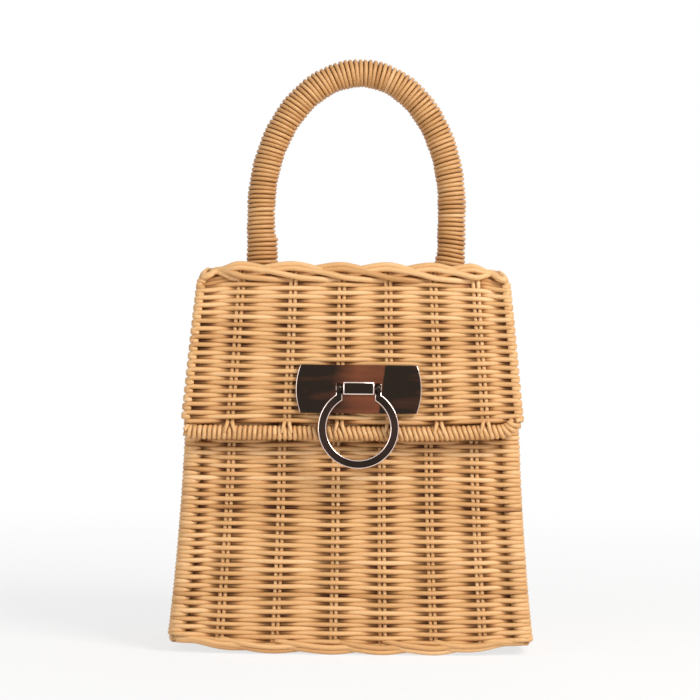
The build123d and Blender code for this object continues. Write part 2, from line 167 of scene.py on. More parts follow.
class CaneHandleSettings(bpy.types.PropertyGroup):
    """Sizes of the handle."""

    span: length("Span", "Distance between the middles of the two legs", 98.6 * MM)
    leg: length("Leg", "Height of the straight legs", 31.5 * MM)
    rise: length("Rise", "Height of the arch over the legs", 70.3 * MM)
    radius: length("Radius", "Radius over the winding", 7.45 * MM)
    turn: length("Turn", "Width of one turn of the winding", 2.25 * MM)
    lean: length("Lean", "How far the top of the arch leans to the right", 1.7 * MM)


class CaneClaspSettings(bpy.types.PropertyGroup):
    """Sizes of the clasp."""

    level: length("Level", "Height of the clasp's pin line on the flap", 132 * MM)
    out: length("Distance", "Distance of the clasp's back in front of the wall", 10 * MM)
    # The bevels carry a painted highlight, a pale copy of the plating
    bevel: length("Bevel", "Width of the polished edges", 0.3 * MM)
    sides: IntProperty(name="Sides", description="Straight runs in the ring", default=96, min=24)


class CaneFinishSettings(bpy.types.PropertyGroup):
    """Colours of the cane and the metal."""

    # Painted shade: the colour of the deepest painted shade in the weave
    cane_painted_shade: colour("Cane in hollows", "Tone where the varnish gathers", (0.13, 0.036, 0.008))
    cane_dark: colour("Dark cane", "Darkest tone of the open cane", (0.5, 0.245, 0.082))
    cane_mid: colour("Cane", "Middle tone of the cane", (0.71, 0.408, 0.174))
    cane_light: colour("Light cane", "Lightest tone of the cane", (0.85, 0.565, 0.3))
    metal: colour("Metal", "Tone of the polished plating", (0.03, 0.021, 0.016))
    metal_thin: colour("Worn metal", "Tone of the plating where it is handled", (0.06, 0.036, 0.029))
    # Painted reflection: the colour of the warm band across the plate
    metal_reflection: colour("Warm metal", "Tone of the band across the plate", (0.235, 0.076, 0.038))
    # Painted highlight: the pale copy of the plating on the bevels
    metal_edge_highlight: colour("Metal edge", "Tone of the bare polished edges", (0.83, 0.68, 0.62))


class CaneStageSettings(bpy.types.PropertyGroup):
    """Camera, floor and light."""

    distance: length("Camera distance", "Distance of the camera in front of the bag", 1.1)
    height: length("Camera height", "Height of the camera", 0.1515)
    aside: length("Camera aside", "Distance of the camera to the left", 1.5 * MM)
    roll: FloatProperty(name="Camera roll", description="Lean of the picture to the right",
                        default=math.radians(0.56), subtype="ANGLE")
    lens: FloatProperty(name="Lens", description="Focal length in millimetres", default=108.8, min=10)
    floor: colour("Floor", "Colour of the floor", (0.92, 0.915, 0.905))


# Strands

def unit(vectors):
    """Vectors brought to a length of one."""
    return vectors / np.linalg.norm(vectors, axis=1)[:, None]


def points_of(xs, ys, zs):
    """Points from their coordinates, each an array or one number for all."""
    return np.stack(np.broadcast_arrays(xs, ys, zs), axis=-1)


class Strands:
    """Round strands of cane gathered into one mesh."""

    def __init__(self, sides=8):
        self.sides = sides
        self.verts = []
        self.quads = []
        self.caps = []
        self.grain = []
        self.tone = []
        self.size = 0
        self.number = 0

    def add(self, points, radius, up, tone, closed=False, hollow_shade=None, groove_shade=None):
        """Adds one strand along the points; up keeps its rings from twisting.

        hollow_shade gives a direction, and how much painted shade darkens the strand on that side and on
        the other.
        groove_shade gives the direction of the strands beside it, and how much painted shade darkens it
        towards them."""
        points = np.asarray(points, float)
        count = len(points)
        if closed:
            ahead = unit(np.roll(points, -1, 0) - np.roll(points, 1, 0))
        else:
            ahead = unit(np.gradient(points, axis=0))
        side = unit(np.cross(ahead, np.broadcast_to(up, points.shape)))
        over = np.cross(side, ahead)
        angle = np.arange(self.sides) * TURN / self.sides
        ring = side[:, None] * np.cos(angle)[:, None] + over[:, None] * np.sin(angle)[:, None]
        radius = np.broadcast_to(radius, count)
        self.verts.append((points[:, None] + radius[:, None, None] * ring).reshape(-1, 3))
        along = np.concatenate(([0.0], np.cumsum(np.linalg.norm(np.diff(points, axis=0), axis=1))))
        grain = np.empty((count, self.sides, 3))
        grain[..., 0] = along[:, None]
        grain[..., 1] = radius[:, None] * np.sin(angle)
        grain[..., 2] = self.number + radius[:, None] * np.cos(angle)
        self.grain.append(grain.reshape(-1, 3))

        def lean_to(direction):
            return (ring * np.broadcast_to(direction, points.shape)[:, None]).sum(-1)

        shades = np.repeat(np.broadcast_to(tone, count)[:, None], self.sides, axis=1)
        # Painted shade: darker where a stake covers the strand, and towards the strands beside it
        if hollow_shade:
            facing, near, far = hollow_shade
            lean = lean_to(facing)
            covered = near[:, None] * (1 + lean) / 2 + far[:, None] * (1 - lean) / 2
            shades = shades - HOLLOW_SHADE * covered
        if groove_shade:
            across, depth = groove_shade
            shades = shades - depth * lean_to(across) ** GROOVE_POWER
        self.tone.append(shades.ravel())
        here = np.arange(count if closed else count - 1)[:, None]
        there = (here + 1) % count
        column = np.arange(self.sides)
        beside = (column + 1) % self.sides
        corners = ((here, column), (there, column), (there, beside), (here, beside))
        quads = np.stack([ring_at * self.sides + spot for ring_at, spot in corners], axis=-1)
        self.quads.append(quads.reshape(-1, 4) + self.size)
        if not closed:
            last = (count - 1) * self.sides
            self.caps.append((column + self.size).tolist())
            self.caps.append((column[::-1] + last + self.size).tolist())
        self.size += count * self.sides
        self.number += 1

    def build(self, name, material):
        """Makes the mesh object, with the run of the grain and the tone of each strand on its points."""
        mesh = bpy.data.meshes.new(name)
        mesh.from_pydata(np.concatenate(self.verts), [], np.concatenate(self.quads).tolist() + self.caps)
        grain = mesh.attributes.new("grain", "FLOAT_VECTOR", "POINT")
        grain.data.foreach_set("vector", np.concatenate(self.grain).ravel())
        tone = mesh.attributes.new("tone", "FLOAT", "POINT")
        tone.data.foreach_set("value", np.concatenate(self.tone))
        mesh.polygons.foreach_set("use_smooth", np.ones(len(mesh.polygons), bool))
        mesh.update()
        return place(name, mesh, material)


def place(name, mesh, *materials):
    """Puts a finished mesh in the scene."""
    for material in materials:
        mesh.materials.append(material)
    piece = bpy.data.objects.new(name, mesh)
    bpy.context.scene.collection.objects.link(piece)
    return piece


def settle(piece, body, slot, *nodes):
    """Ties a piece to its body, and hides the solids that it stands for."""
    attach(piece, body)
    if nodes:
        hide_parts(*nodes)


def lay(strands, name, body, *nodes):
    """Builds strands of varnished cane and ties them to their body."""
    settle(strands.build(name, cane_finish()), body, "cane", *nodes)


# Woven plan

# Share of the wall's height where its sides are pulled in most
PULLED_SHARE = 0.28


def wall_half(level):
    """Half the width and half the depth of the box at a height, between the rows."""
    box = bpy.context.scene.cane_box
    share = (level - box.wall_foot) / (box.wall_top - box.wall_foot)
    width = box.base_width + (box.mouth_width - box.base_width) * share
    depth = box.base_depth + (box.mouth_depth - box.base_depth) * share
    pulled = box.pulled_in * np.maximum(1 - ((share - PULLED_SHARE) / PULLED_SHARE) ** 2, 0)
    return width / 2 - pulled, depth / 2


def flap_half(level):
    """Half the width of the flap at a height."""
    lid = bpy.context.scene.cane_lid
    return wall_half(level)[0] + lid.flap_proud - lid.flap_flare * (level - lid.flap_foot)


def flap_spot(level, out):
    """Place across the flap at a height: its y at a distance out from the wall."""
    return -wall_half(level)[1] - out


class RoundPlan:
    """Plan with round corners, measured along its edge from the middle of its right side."""

    def __init__(self, half_width, half_depth, corner, middle=0.0):
        self.half_width = half_width
        self.half_depth = half_depth
        self.corner = corner
        self.middle = middle
        turns = np.linspace(0, math.pi / 2, CORNER_STEPS)
        xs, ys, angles = [half_width], [0.0], [0.0]
        for quarter, (side_x, side_y) in enumerate(((1, 1), (-1, 1), (-1, -1), (1, -1))):
            swing = quarter * math.pi / 2 + turns
            xs.extend(side_x * (half_width - corner) + corner * np.cos(swing))
            ys.extend(side_y * (half_depth - corner) + corner * np.sin(swing))
            angles.extend(swing)
        self.xs = np.array(xs + [half_width])
        self.ys = np.array(ys + [0.0])
        self.angles = np.array(angles + [TURN])
        steps = np.hypot(np.diff(self.xs), np.diff(self.ys))
        self.lengths = np.concatenate(([0.0], np.cumsum(steps)))
        self.total = self.lengths[-1]

    def at(self, run):
        """Points, and outward angles there, at lengths along the edge."""
        run = np.mod(run, self.total)
        xs = np.interp(run, self.lengths, self.xs)
        ys = np.interp(run, self.lengths, self.ys) + self.middle
        return xs, ys, np.interp(run, self.lengths, self.angles)

    def stakes(self, front_shares, back_shares, share_width):
        """Lengths of all the stakes along the edge, with one at each corner."""
        ends = [self.lengths[(quarter + 1) * CORNER_STEPS] for quarter in range(4)]
        starts = [self.lengths[1 + quarter * CORNER_STEPS] for quarter in range(4)]
        corners = [(start + end) / 2 for start, end in zip(starts, ends)]
        straight_x = self.half_width - self.corner
        straight_y = self.half_depth - self.corner
        sides = [share * self.half_depth for share in SIDE_SHARES]
        places = [y for y in sides if y >= 0]
        places.append(corners[0])
        places += [ends[0] + straight_x - share * share_width for share in reversed(back_shares)]
        places.append(corners[1])
        places += [ends[1] + straight_y - y for y in reversed(sides)]
        places.append(corners[2])
        places += [ends[2] + straight_x + share * share_width for share in front_shares]
        places.append(corners[3])
        places += [self.total + y for y in sides if y < 0]
        return np.array(places)


def wall_plan(level):
    """Plan of the middle of the wall at a height, and its stakes."""
    box = bpy.context.scene.cane_box
    half_width, half_depth = wall_half(level)
    plan = RoundPlan(half_width - box.wall_middle, half_depth - box.wall_middle, box.corner)
    return plan, plan.stakes(FRONT_SHARES, FRONT_SHARES, half_width)


def smooth(share):
    """Eases a share from 0 to 1, level at both ends."""
    share = np.clip(share, 0, 1)
    return share * share * (3 - 2 * share)


def corner_share(xs, ys, plan):
    """How near points of a plan are to its corners: 0 in the middle half of a side, 1 at a corner."""
    return smooth(2 * np.abs(xs) / plan.half_width - 1) * smooth(2 * np.abs(ys) / plan.half_depth - 1)


def edge_share(xs, half, start, reach):
    """How near places are to the left or right edge: 0 at a start inside it, 1 a reach further out."""
    return smooth((np.abs(xs) - half + start) / reach)


def wave(turn):
    """Swing of a row from the front of one stake to the back of the next, flat half way."""
    round_share, sharp_share = 0.55, 0.45
    swing = np.cos(math.pi * turn)
    return swing * (round_share + sharp_share * swing * swing)


def held_back(spots, posts):
    """Spots moved towards the posts, so that rows come out from behind the posts late."""
    hold = 1.6
    moved = spots.copy()
    for post in posts:
        apart = spots - post
        near = np.abs(apart) < 1
        moved[near] = post + np.sign(apart[near]) * np.abs(apart[near]) ** hold
    return moved


def cover(turn):
    """How far a row lies behind a stake: 1 at the stake, 0 from before half way to the next."""
    start = 0.25
    return smooth((-np.cos(math.pi * turn) - start) / (1 - start))


def wander(spots, level):
    """Slow rise and fall that neighbouring rows share."""
    total = 0
    for count, tall, start, weight in WANDER_WAVES:
        total = total + weight * np.sin(TURN * (count * spots / STAKE_COUNT + level / tall) + start)
    return WANDER_REACH * total


def own_tone(draw, kind, count=None):
    """Tone of one strand of a kind, or of each of a count of turns."""
    base, spread = TONES[kind]
    return base + spread * draw.standard_normal(count)


def tones(draw, spots, kind):
    """Tone along a strand: its own shade, with a slow change along it."""
    own = own_tone(draw, kind)
    drift = DRIFT_SHARE * TONES[kind][1]
    swing = TURN * DRIFT_WAVES * spots / STAKE_COUNT + draw.uniform(0, TURN)
    return np.clip(own + drift * np.sin(swing), 0, 1)


def wrap_post(rows, draw, middle, outward, radius, cane):
    """One turn of cane round the outer side of a post, between two rows that pass in front of it."""
    reach, steps = 140, 13
    swing = outward + np.radians(np.linspace(-reach, reach, steps))
    points = points_of(middle[0] + radius * np.cos(swing), middle[1] + radius * np.sin(swing), middle[2])
    rows.add(points, cane, UP, own_tone(draw, "wrap"))


def pushed_out(xs, ys, angles, out, heights):
    """Points at places of a plan, moved outwards, at their heights."""
    return points_of(xs + out * np.cos(angles), ys + out * np.sin(angles), heights)


def weave_wall_rows(first, last, draw):
    """Closed rows of cane that pass in front of one stake and behind the next."""
    box = bpy.context.scene.cane_box
    tremble_waves, uneven, wrap_share = 7, 0.03, 1.35
    rows = Strands()
    for row in range(first, last):
        level = box.wall_foot + (row + 0.5) * box.row_pitch
        plan, stakes = wall_plan(level)
        spots = np.arange(STAKE_COUNT * SPAN_STEPS) / SPAN_STEPS
        ends = np.append(stakes, stakes[0] + plan.total)
        xs, ys, angles = plan.at(np.interp(spots, np.arange(STAKE_COUNT + 1), ends))
        sway = np.full(STAKE_COUNT + 1, box.sway)
        sway[list(CORNERS)] = box.post + box.cane
        turn = held_back(spots, [post for post in CORNERS if (post + row) % 2]) + row
        out = np.interp(spots, np.arange(STAKE_COUNT + 1), sway) * wave(turn)
        lift = wander(spots, level)
        lift += TREMBLE * np.sin(TURN * spots * tremble_waves / STAKE_COUNT + draw.uniform(0, TURN))
        fade = math.exp((box.wall_foot - level) / FOOT_FADE)
        lift += box.foot_lift * fade * corner_share(xs, ys, plan)
        points = pushed_out(xs, ys, angles, out, level + lift)
        cane = box.cane * (1 + uneven * draw.standard_normal())
        # Painted shade where a stake covers the row, and in the grooves between rows
        outward = points_of(FACING_OUT * np.cos(angles), FACING_OUT * np.sin(angles), FACING_UP)
        hollow_shade = (outward, cover(turn), cover(turn + 1))
        shade = tones(draw, spots, "row")
        rows.add(points, cane, UP, shade, closed=True, hollow_shade=hollow_shade, groove_shade=(UP, ROW_GROOVE_SHADE))
        for corner in CORNERS:
            at = corner * SPAN_STEPS
            if (corner + row) % 2 and row > 0:
                middle = (xs[at], ys[at], level + lift[at])
                wrap_post(rows, draw, middle, angles[at], box.post + wrap_share * box.cane, box.cane)
    return rows


def stake_rods(rods, draw, points, outward, radius, offsets):
    """Rods side by side along the points of a stake."""
    shake_reach, shake_run, tone_run = 0.12 * MM, 9, 3
    aside = np.cross(outward, UP)
    for offset in offsets:
        swing = np.linspace(0, shake_run, len(points)) + draw.uniform(0, TURN)
        track = points + aside * (offset + shake_reach * np.sin(swing))[:, None]
        rods.add(track, radius, outward, tones(draw, np.linspace(0, tone_run, len(points)), "stake"))


# Finishes

def feed(tree, target, inputs):
    """Sets the inputs of a shader node, each to a value or to another node's output."""
    for key, value in inputs.items():
        if isinstance(value, bpy.types.NodeSocket):
            tree.links.new(value, target.inputs[key])
        else:
            target.inputs[key].default_value = value


def node(tree, kind, inputs=None, **settings):
    """A new shader node with its settings and inputs."""
    made = tree.nodes.new("ShaderNode" + kind)
    for key, value in settings.items():
        setattr(made, key, value)
    feed(tree, made, inputs or {})
    return made


def grain_noise(tree, vector, scale, detail):
    """Noise drawn out along the grain."""
    stretch = node(tree, "Mapping", {"Vector": vector, "Scale": scale})
    noise = {"Vector": stretch.outputs["Vector"], "Scale": 1.0, "Detail": detail}
    return node(tree, "TexNoise", noise).outputs["Fac"]


def weighted(tree, *sources):
    """Sum of some outputs, each with its weight."""
    total = 0.0
    for output, weight in sources:
        step = node(tree, "Math", {0: output, 1: weight, 2: total}, operation="MULTIPLY_ADD")
        total = step.outputs["Value"]
    return total


def toned(tree, share, stops):
    """Colours along a share, from stops of a place and a colour."""
    ramp = node(tree, "ValToRGB", {"Fac": share})
    marks = ramp.color_ramp.elements
    marks[0].position = stops[0][0]
    marks[1].position = stops[-1][0]
    for position, _ in stops[1:-1]:
        marks.new(position)
    for mark, (_, tint) in zip(marks, stops):
        mark.color = (*tint, 1)
    return ramp.outputs["Color"]


def new_finish(name):
    """A new material, with its nodes and its shader."""
    material = bpy.data.materials.new(name)
    material.use_nodes = True
    return material, material.node_tree, material.node_tree.nodes["Principled BSDF"]


def dress(tree, shader, tint, gloss, rough, relief, bump):
    """Gives a shader its colour, a roughness between two values, and a relief's strength and height."""
    spread = node(tree, "MapRange", {"Value": gloss, "To Min": rough[0], "To Max": rough[1]})
    fine = node(tree, "Bump", {"Height": relief, "Strength": bump[0], "Distance": bump[1]})
    feed(tree, shader, {
        "Base Color": tint,
        "Roughness": spread.outputs["Result"],
        "Normal": fine.outputs["Normal"],
    })


def cane_finish(name="varnished_cane", shade=1.0, depth=1.0):
    """Varnished cane: fibres along each strand, mottling, and a tone for each strand, which also carries
    painted shade.
    """
    if name in bpy.data.materials:
        return bpy.data.materials[name]
    finish = bpy.context.scene.cane_finish
    material, tree, shader = new_finish(name)
    grain = node(tree, "Attribute", attribute_name="grain").outputs["Vector"]
    tone = node(tree, "Attribute", attribute_name="tone").outputs["Fac"]
    fibre = grain_noise(tree, grain, (160, 5200, 5200), 3.0)
    mottle = grain_noise(tree, grain, (55, 500, 500), 2.0)
    mix = weighted(tree, (tone, 0.55), (mottle, 0.32), (fibre, 0.13))
    # The lowest stop is the painted-shade colour, which the tone reaches where painted shade darkens a
    # strand
    places = (0.0, 0.22, 0.5, 0.8)
    tints = (finish.cane_painted_shade, finish.cane_dark, finish.cane_mid, finish.cane_light)
    deepened = [[shade * value ** depth for value in tint] for tint in tints]
    tint = toned(tree, mix, list(zip(places, deepened)))
    dress(tree, shader, tint, mottle, (0.34, 0.56), fibre, (0.25, 0.15 * MM))
    feed(tree, shader, {"Specular IOR Level": 0.4, "Coat Weight": 0.05, "Coat Roughness": 0.3})
    return material


def wound_shaded_finish():
    """The handle's cane: a darker copy of the varnished cane, painted shade over the whole handle."""
    return cane_finish("wound_cane_shaded", 0.88, 1.13)


# Painted reflection on the plate, a warm band: half the width that it is measured over, how far it slants,
# and its levels, brightest near its right end as a painted highlight
BAND_HALF = 31 * MM
BAND_SLANT = 0.13
BAND_LEVELS = ((0.0, 0.1), (0.27, 0.16), (0.47, 0.8), (0.68, 0.9), (0.695, 0.1), (1.0, 0.22))


def painted_reflection_band(tree, spot, middle):
    """Painted reflection: level streaks in a band across a plate, which ends in a slanted line right of the
    plate's middle.
    """
    centre = middle.x - BAND_SLANT * middle.z
    axes = node(tree, "SeparateXYZ", {"Vector": spot}).outputs
    along = weighted(tree, (axes["X"], 1.0), (axes["Z"], -BAND_SLANT))
    ends = {"From Min": centre - BAND_HALF, "From Max": centre + BAND_HALF}
    across = node(tree, "MapRange", {"Value": along, **ends}).outputs["Result"]
    band = toned(tree, across, [(position, (level,) * 3) for position, level in BAND_LEVELS])
    streaks = grain_noise(tree, spot, (50, 50, 240), 2.0)
    return weighted(tree, (band, 0.65), (streaks, 0.5))


def metal_finish(name, low, high, rough, middle=None):
    """Polished plating with faint scratches and a slow change of tone, or a painted reflection, a warm
    band, across a plate.
    """
    if name in bpy.data.materials:
        return bpy.data.materials[name]
    material, tree, shader = new_finish(name)
    spot = node(tree, "TexCoord").outputs["Object"]
    if middle:
        tint = toned(tree, painted_reflection_band(tree, spot, middle), ((0.36, low), (0.92, high)))
    else:
        cloud = node(tree, "TexNoise", {"Vector": spot, "Scale": 38.0, "Detail": 2.0}).outputs["Fac"]
        tint = toned(tree, cloud, ((0.42, low), (0.68, high)))
    scratch = grain_noise(tree, spot, (300, 300, 6000), 2.0)
    dress(tree, shader, tint, scratch, (rough * 0.7, rough * 1.5), scratch, (0.03, 0.05 * MM))
    feed(tree, shader, {"Metallic": 1.0})
    return material


# Roughness of the plating and of its edges, which carry a painted highlight
PLATING_ROUGH = 0.14
EDGE_ROUGH = 0.16


def plating():
    """The dark plating, and a pale copy of it for the edges beside it, a painted highlight."""
    finish = bpy.context.scene.cane_finish
    face = metal_finish("dark_plating", finish.metal, finish.metal_thin, PLATING_ROUGH)
    edge = metal_finish("painted_highlight_edge", finish.metal_edge_highlight, finish.metal_edge_highlight, EDGE_ROUGH)
    return face, edge


class CANEBAG_OT_wall(bpy.types.Operator):
    """Weave the rows of the box over its stakes"""

    bl_idname = "canebag.wall"
    bl_label = "Wall"

    def execute(self, context):
        box = context.scene.cane_box
        draw = np.random.RandomState(SEEDS["wall"])
        count = round((box.wall_top - box.wall_foot) / box.row_pitch)
        lay(weave_wall_rows(0, count // 2, draw), "wall_rows_lower", "body", "body_weave")
        lay(weave_wall_rows(count // 2, count, draw), "wall_rows_upper", "body")

        tip, steps, post_start = 1.5 * MM, 14, 2
        levels = np.linspace(box.wall_foot - tip, box.wall_top + tip, steps)
        spots = []
        for level in levels:
            plan, stakes = wall_plan(level)
            spots.append(np.stack(plan.at(stakes), axis=-1))
        spots = np.array(spots)
        rods = Strands()
        for column in range(STAKE_COUNT):
            angle = spots[0, column, 2]
            outward = np.array((math.cos(angle), math.sin(angle), 0))
            points = np.column_stack((spots[:, column, :2], levels)) + box.stake_out * outward
            if column in CORNERS:
                stake_rods(rods, draw, points[post_start:], outward, box.post, (0.0,))
            else:
                stake_rods(rods, draw, points, outward, box.stake, (-box.pair, box.pair))
        lay(rods, "wall_stakes", "body", "body_stakes")
        return {"FINISHED"}


# Path of a border rod along the stakes, in stakes and millimetres: run, height and distance out,
# and the heights of its rods
FOOT_PATH = ((0.0, 0.5, 1.0, 1.5, 2.1), (0.4, 2.4, 3.6, 2.4, 0.2), (-0.9, 1.2, 1.0, -0.4, -1.7),
             (0.0, -2.1))
LID_PATH = ((0.0, 0.5, 1.0, 1.5, 2.0, 2.5, 3.0), (-0.8, 2.1, 3.6, 1.2, -2.6, -3.8, -4.3),
            (-2.2, 0.5, 0.7, 1.1, 1.9, 0.8, -2.6), (0.0, -2.0))


def bent_through(knots, values, run):
    """Smooth line through some values, level with their neighbours at each."""
    knots, values = np.array(knots), np.array(values)
    slopes = np.gradient(values, knots)
    knot = np.clip(np.searchsorted(knots, run, side="right") - 1, 0, len(knots) - 2)
    width = knots[knot + 1] - knots[knot]
    share = (run - knots[knot]) / width
    ease = smooth(share)
    rest = share * (1 - share) * width
    line = values[knot] * (1 - ease) + values[knot + 1] * ease
    return line + rest * ((1 - share) * slopes[knot] - share * slopes[knot + 1])


def plait_border(draw, plan, stakes, level, upward, path, bend):
    """Pairs of rods that rise at each stake, arch over the next and go down behind a later one.

    bend changes the heights and distances of a rod for its places on the plan."""
    rod = bpy.context.scene.cane_lid.border_rod
    join_start, join_run, uneven_rise, uneven_rod = 1.1, 0.9, 0.1, 0.04
    knots, rises, outs, drops = path
    count = len(stakes)
    run = np.linspace(knots[0], knots[-1], round(knots[-1] * SPAN_STEPS) + 1)
    rise = bent_through(knots, rises, run)
    out = bent_through(knots, outs, run)
    places = np.concatenate((stakes, stakes + plan.total))
    border = Strands()
    for first in range(count):
        xs, ys, angles = plan.at(np.interp(first + run, np.arange(2 * count), places))
        for drop in drops:
            lower = drop * (1 - smooth((run - join_start) / join_run))
            push = -0.35 - 0.45 * drop
            high = (rise + lower + uneven_rise * draw.standard_normal()) * MM
            heights, away = bend(xs, ys, high, (out + push) * MM)
            points = pushed_out(xs, ys, angles, away, level + upward * heights)
            radius = rod * (1 + uneven_rod * draw.standard_normal())
            border.add(points, radius, UP, tones(draw, run, "border"))
    return border


def weave_mat(low, high, stake_places, reach, draw):
    """Level mat: rows from side to side over pairs of rods; reach gives half a row's length at its y."""
    pitch = bpy.context.scene.cane_box.row_pitch
    cane, rod, rod_gap, rod_tone, rod_steps = 1.15 * MM, 0.85 * MM, 0.1 * MM, 0.45, 6
    sway, end_drop, stray_reach, stray_run = 0.68 * (cane + rod), 0.8 * MM, 0.12 * MM, 3
    middle = (low[2] + high[2]) / 2
    mat = Strands()
    last = len(stake_places) + 1
    spots = np.linspace(0, last, last * MAT_STEPS + 1)
    calm = smooth(2 * spots) * smooth(2 * (last - spots))
    count = round((high[1] - low[1]) / pitch)
    for row in range(count):
        y = low[1] + (row + 0.5) * (high[1] - low[1]) / count
        xs = np.interp(spots, np.arange(last + 1), [-reach(y), *stake_places, reach(y)])
        stray = stray_reach * np.sin(TURN * spots / stray_run + draw.uniform(0, TURN))
        heights = middle + sway * wave(spots + row) * calm - end_drop * (1 - calm)
        # Painted shade where a rod of the mat covers the row
        hollow_shade = (UP, cover(spots + row), cover(spots + row + 1))
        mat.add(points_of(xs, y + stray, heights), cane, UP, tones(draw, spots, "mat"), hollow_shade=hollow_shade)
    for x in stake_places:
        for offset in (-rod - rod_gap, rod + rod_gap):
            track = points_of(x + offset, np.linspace(low[1], high[1], rod_steps), middle)
            mat.add(track, rod, UP, rod_tone)
    return mat


class CANEBAG_OT_foot(bpy.types.Operator):
    """Plait the foot of the box and weave its floor"""

    bl_idname = "canebag.foot"
    bl_label = "Foot and Floor"

    def execute(self, context):
        box = context.scene.cane_box
        draw = np.random.RandomState(SEEDS["foot"])
        half_width, half_depth = wall_half(box.wall_foot)
        inset, sunk, side_reach = 1.2 * MM, 0.1 * MM, 22 * MM
        plan = RoundPlan(half_width - inset, half_depth - inset, box.corner)
        stakes = plan.stakes(FRONT_SHARES, FRONT_SHARES, half_width)

        # How much of a rod's distance and height the corners and the sides take away
        corner_out, corner_rise, corner_in = 0.75, 0.65, 0.9 * MM
        side_out, side_rise, side_in, side_lift = 0.3, 0.35, 1.3 * MM, 1.1 * MM

        def bend(xs, ys, rise, out):
            flat = corner_share(xs, ys, plan)
            side = edge_share(xs, plan.half_width, side_reach, side_reach) * (1 - flat)
            out = out * (1 - corner_out * flat - side_out * side) - corner_in * flat - side_in * side
            rise = rise * (1 - corner_rise * flat - side_rise * side)
            return rise - box.foot_lift * flat - side_lift * side, out

        border = plait_border(draw, plan, stakes, box.wall_foot + sunk, -1, FOOT_PATH, bend)
        lay(border, "foot_plait", "body", "foot_border")

        low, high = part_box("base_mat")
        places = [share * half_width for share in FRONT_SHARES]
        lay(weave_mat(low, high, places, lambda y: high[0], draw), "floor_mat", "body", "base_mat")
        return {"FINISHED"}


class CANEBAG_OT_mouth(bpy.types.Operator):
    """Twist the hoop of the mouth and tie the hinge loops"""

    bl_idname = "canebag.mouth"
    bl_label = "Mouth and Hinge"

    def execute(self, context):
        box = context.scene.cane_box
        draw = np.random.RandomState(SEEDS["mouth"])
        low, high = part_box("mouth_rim")
        inset, twist_run, twist_steps, tone_run = 2.2 * MM, 17 * MM, 12, 0.03
        strands, strand, twist_out, twist_lift = 3, 1.12 * MM, 1.05 * MM, 0.95 * MM
        plan = RoundPlan(high[0] - inset, high[1] - inset, box.corner)
        level = (low[2] + high[2]) / 2
        twists = round(plan.total / twist_run)
        steps = twists * twist_steps
        run = np.arange(steps) * plan.total / steps
        xs, ys, angles = plan.at(run)
        hoop = Strands()
        for number in range(strands):
            twist = TURN * (twists * run / plan.total + number / strands)
            heights = level + twist_lift * np.sin(twist)
            points = pushed_out(xs, ys, angles, twist_out * np.cos(twist), heights)
            hoop.add(points, strand, UP, tones(draw, run / tone_run, "hoop"), closed=True)
        lay(hoop, "mouth_hoop", "body", "mouth_rim")

        low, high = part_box("hinge_loops")
        tie, loop, loop_steps, turns = 0.52 * MM, 3.7 * MM, 28, 3
        centre_y = (low[1] + high[1]) / 2
        centre_z = (low[2] + high[2]) / 2
        swing = np.arange(loop_steps) * TURN / loop_steps
        loops = Strands()
        for end, inward in ((low[0], 1), (high[0], -1)):
            for turn in range(turns):
                x = end + inward * (0.55 + 1.05 * turn) * MM
                points = points_of(x, centre_y + loop * np.cos(swing), centre_z + loop * np.sin(swing))
                loops.add(points, tie, ACROSS, tones(draw, swing, "tie"), closed=True)
        lay(loops, "hinge_ties", "body", "hinge_loops")
        return {"FINISHED"}


class CANEBAG_OT_lid(bpy.types.Operator):
    """Weave the top of the lid and plait its border"""

    bl_idname = "canebag.lid"
    bl_label = "Lid"

    def execute(self, context):
        lid = context.scene.cane_lid
        draw = np.random.RandomState(SEEDS["lid"])
        low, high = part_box("lid_border")
        inset, corner, border_rise, mat_back = 2.6 * MM, 5.5 * MM, 1.2 * MM, 2.4 * MM
        middle = (low[1] + high[1]) / 2
        half_width = flap_half(low[2])
        plan = RoundPlan(high[0] - inset, (high[1] - low[1]) / 2 - inset, corner, middle)
        stakes = plan.stakes(FLAP_SHARES, FRONT_SHARES, half_width)
        side_end = low[1] + inset + corner

        # Where the sides, the hanging front corners and the tucked tails begin, and how far they reach
        side_start, side_run, front_run, hang_run, tail_run = 21 * MM, 13 * MM, 6 * MM, 8.5 * MM, 1.5 * MM
        in_reach, in_run, tail_in, hang_out = 3.6 * MM, 36 * MM, 2.2 * MM, 4 * MM
        tail_share, side_share, side_rise = 0.7, 0.7, 0.85

        def drawn_in(ys):
            return in_reach * smooth(-ys / in_run)

        def reach(y):
            past = max(abs(y - middle) - plan.half_depth + corner, 0)
            rounded = corner - math.sqrt(max(corner ** 2 - past ** 2, 0))
            return plan.half_width - rounded - drawn_in(y)

        def bend(xs, ys, rise, out):
            side = edge_share(xs, high[0], side_start, side_run)
            front = smooth((side_end - ys) / front_run)
            hang = edge_share(xs, plan.half_width, hang_run, hang_run) * front
            tail = smooth(-rise / tail_run) * (1 - front)
            out = out * (1 - tail_share * tail) - tail_in * tail
            rise = np.where(rise < 0, rise * front * (1 - side), rise * (1 - side_rise * side))
            out = out * (1 - side_share * side) - drawn_in(ys) * side * (1 - hang) + hang_out * hang
            return rise - lid.droop * hang, out

        border = plait_border(draw, plan, stakes, low[2] + border_rise, 1, LID_PATH, bend)
        lay(border, "lid_plait", "lid", "lid_border")

        mat_low, mat_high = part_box("lid_mat")
        mat_high = (mat_high[0], mat_high[1] + mat_back, mat_high[2])
        places = [share * half_width for share in FLAP_SHARES]
        lay(weave_mat(mat_low, mat_high, places, reach, draw), "lid_mat_rows", "lid", "lid_mat")
        return {"FINISHED"}


def drawn_up(xs, half):
    """How far the foot of the flap is drawn up towards its right end."""
    reach, start, run = 1.7 * MM, 0.35, 0.65
    return reach * smooth((xs / half - start) / run)


# Rows at the top of the flap that lie behind its stakes, under the border, and how much painted shade
# darkens them
COVERED_ROWS = 2
COVERED_SHADE = 0.45


